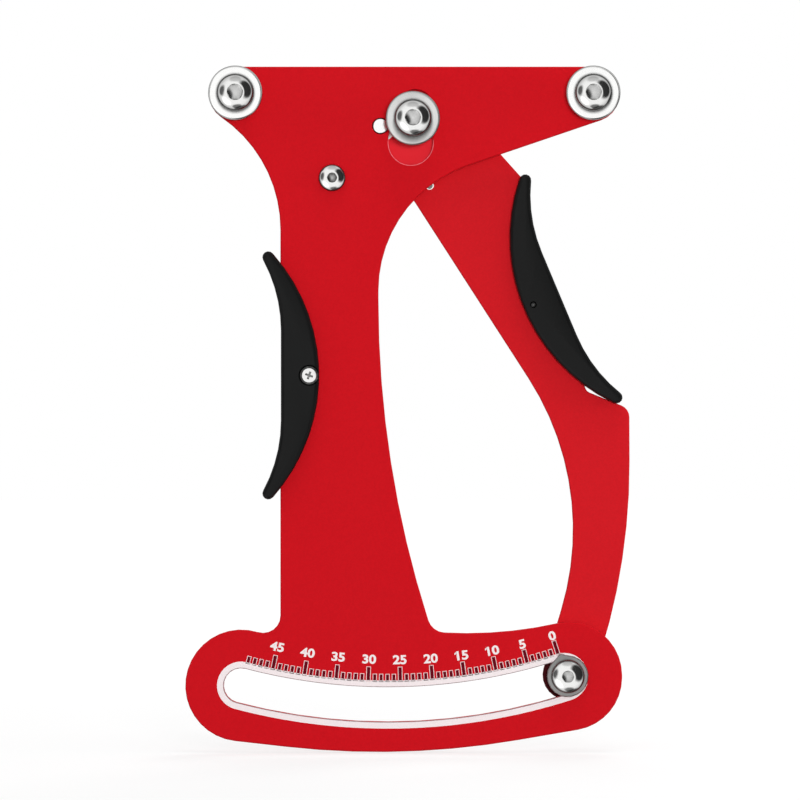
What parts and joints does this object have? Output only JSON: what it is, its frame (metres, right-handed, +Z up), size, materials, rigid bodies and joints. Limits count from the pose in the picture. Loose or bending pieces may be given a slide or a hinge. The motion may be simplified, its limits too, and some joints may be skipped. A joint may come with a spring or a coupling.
{
  "type": "spoke tension meter",
  "caption": "Hand-held spoke tension meter: a fixed plate with grooved posts and an arc scale, and a sprung arm with a pointer and grips.",
  "frame": {"origin": "centre line of a 2 mm spoke held in the grooves, midway between the two fixed posts", "axes": "+Z up with the posts at the top and the scale at the bottom, +X along the spoke towards the arm's side, front with the pointer and scale towards -Y"},
  "size_m": [0.1268, 0.0329, 0.1953],
  "materials": {
    "red_paint": "satin red powder coat on steel plate",
    "turned_steel": "fine turned, bright",
    "screw_chrome": "bright plated",
    "spring_wire": "drawn wire, oiled",
    "black_plastic": "fine grain moulded"
  },
  "bodies": {
    "frame": {"front_plate": "red_paint", "left_post": "turned_steel", "left_post_screw": "screw_chrome", "left_post_washer": "turned_steel", "left_post_nut": "screw_chrome", "right_post": "turned_steel", "right_post_screw": "screw_chrome", "right_post_washer": "turned_steel", "right_post_nut": "screw_chrome", "pivot_pin": "turned_steel", "pivot_washer": "turned_steel", "spring_spool": "turned_steel", "return_spring": "spring_wire", "anchor_screw": "screw_chrome", "anchor_sleeve": "turned_steel", "anchor_nut": "screw_chrome", "left_grip": "black_plastic", "left_grip_screw": "turned_steel"},
    "arm": {"arm_plate": "red_paint", "moving_post": "turned_steel", "moving_post_screw": "screw_chrome", "pointer": "turned_steel", "pointer_bush": "turned_steel", "pointer_glide": "turned_steel", "pointer_screw": "screw_chrome", "pointer_nut": "screw_chrome", "right_grip": "black_plastic", "right_grip_screw": "turned_steel"}
  },
  "joints": [
    {"name": "arm_pivot", "type": "hinge", "parent": "frame", "child": "arm", "pos_m": [-0.00965, 0, -0.0041], "axis": [0, 1, 0], "range_deg": [0, 32.8], "stiffness_Nm_per_rad": 1, "springref_deg": -45.84, "deforming": ["return_spring"]}
  ]
}
